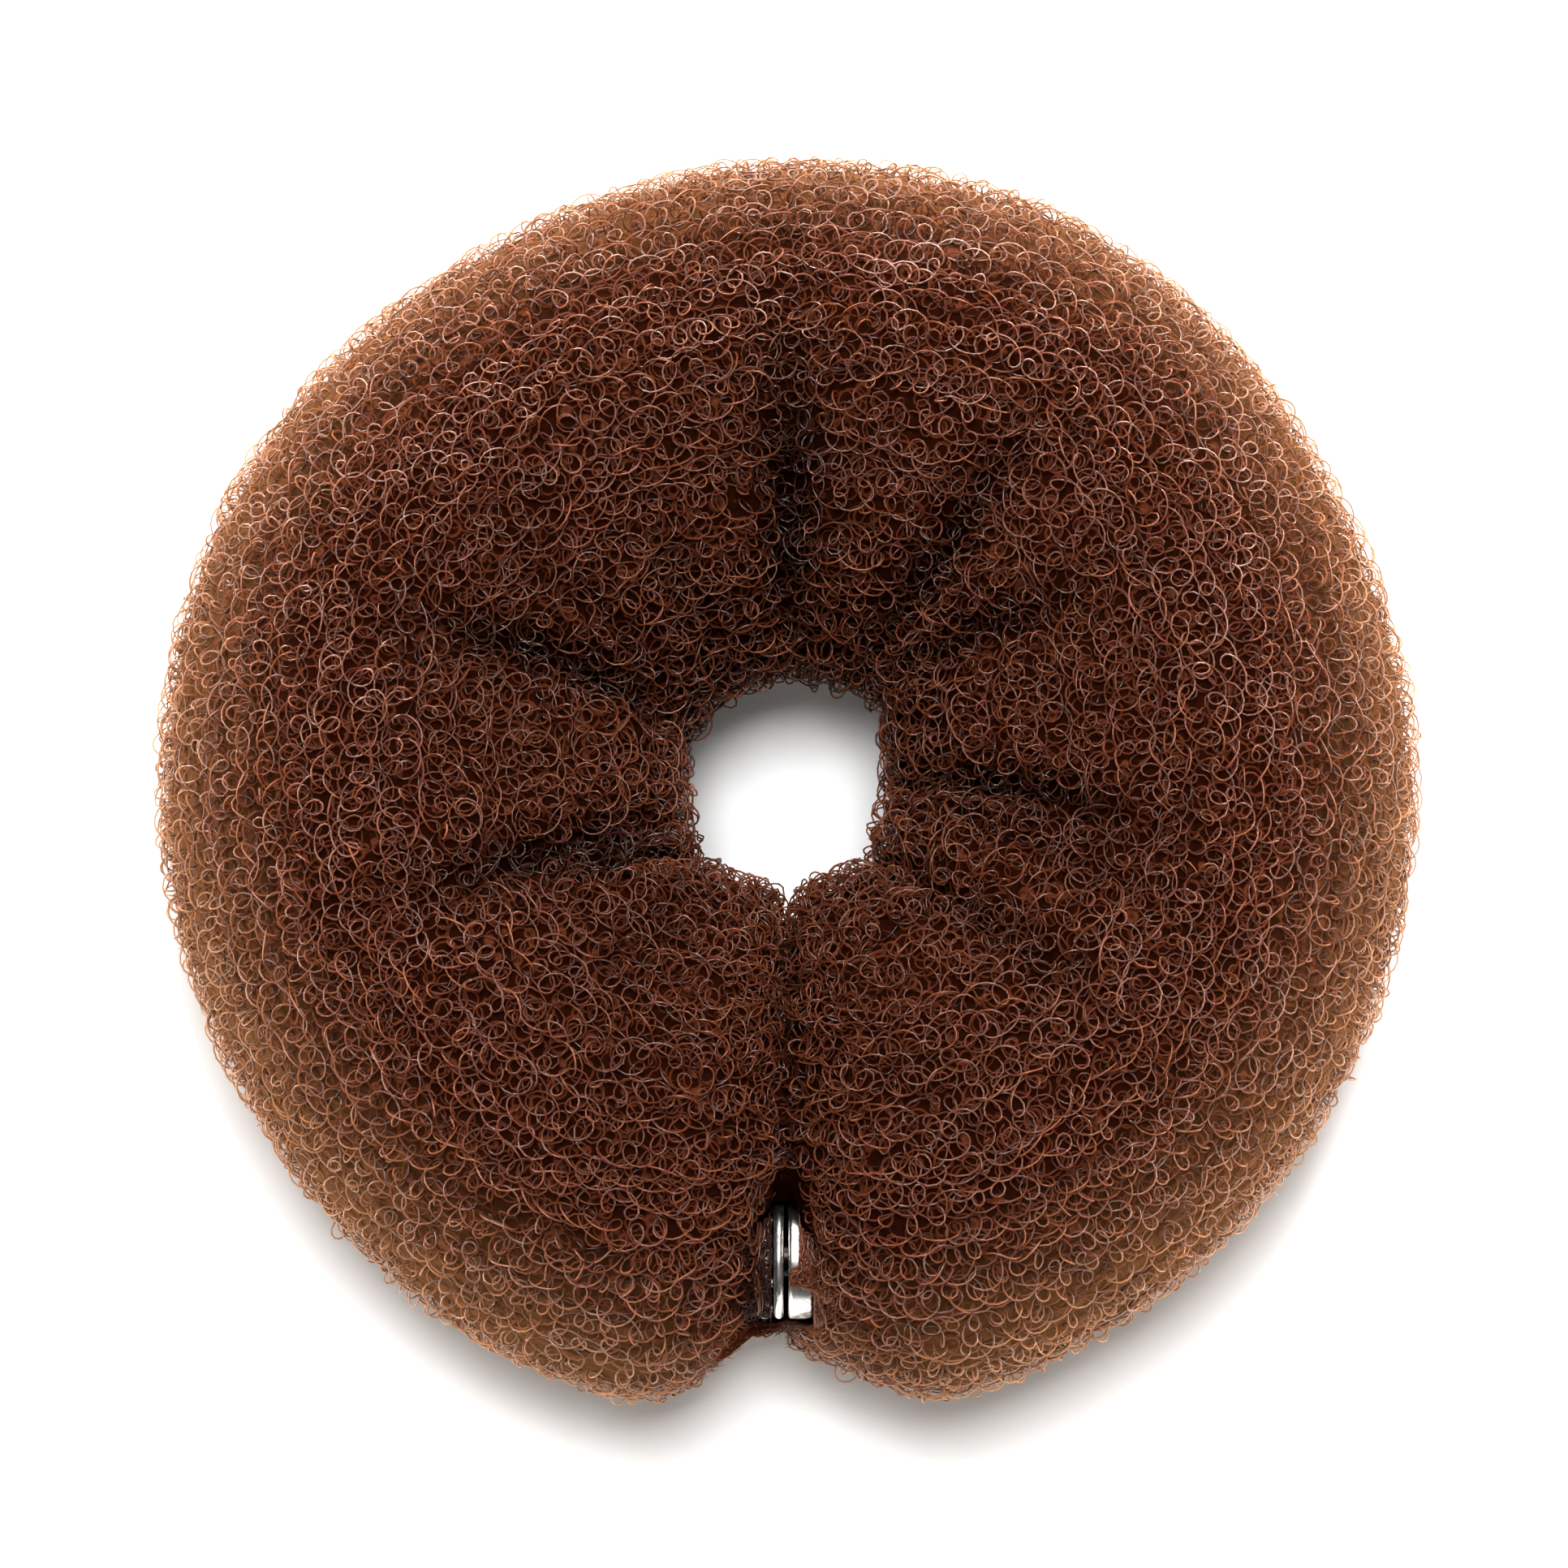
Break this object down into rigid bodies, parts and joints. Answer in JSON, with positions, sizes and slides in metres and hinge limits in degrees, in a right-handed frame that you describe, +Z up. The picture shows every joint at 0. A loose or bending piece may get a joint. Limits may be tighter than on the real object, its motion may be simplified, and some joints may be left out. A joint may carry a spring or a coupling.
{
  "type": "hair donut bun maker",
  "caption": "Soft ring of wound looped mesh that shapes a hair bun, open at one seam and closed there by a metal snap fastener.",
  "frame": {"origin": "on the axis of the ponytail hole, in the plane that the ring lies on", "axes": "+Z up along the hole's axis, -Y towards the seam and the snap, +X towards the socket's side of the seam"},
  "size_m": [0.1, 0.0997, 0.038],
  "materials": {
    "mesh": "looped brown monofilament mesh",
    "snap_metal": "polished nickel plate",
    "backing_metal": "nickel plate, less polished"
  },
  "bodies": {
    "root": {"mesh_roll": "mesh", "snap_stud": "snap_metal", "stud_backing_ring": "backing_metal", "snap_socket": "snap_metal", "socket_backing_ring": "backing_metal"}
  },
  "joints": []
}
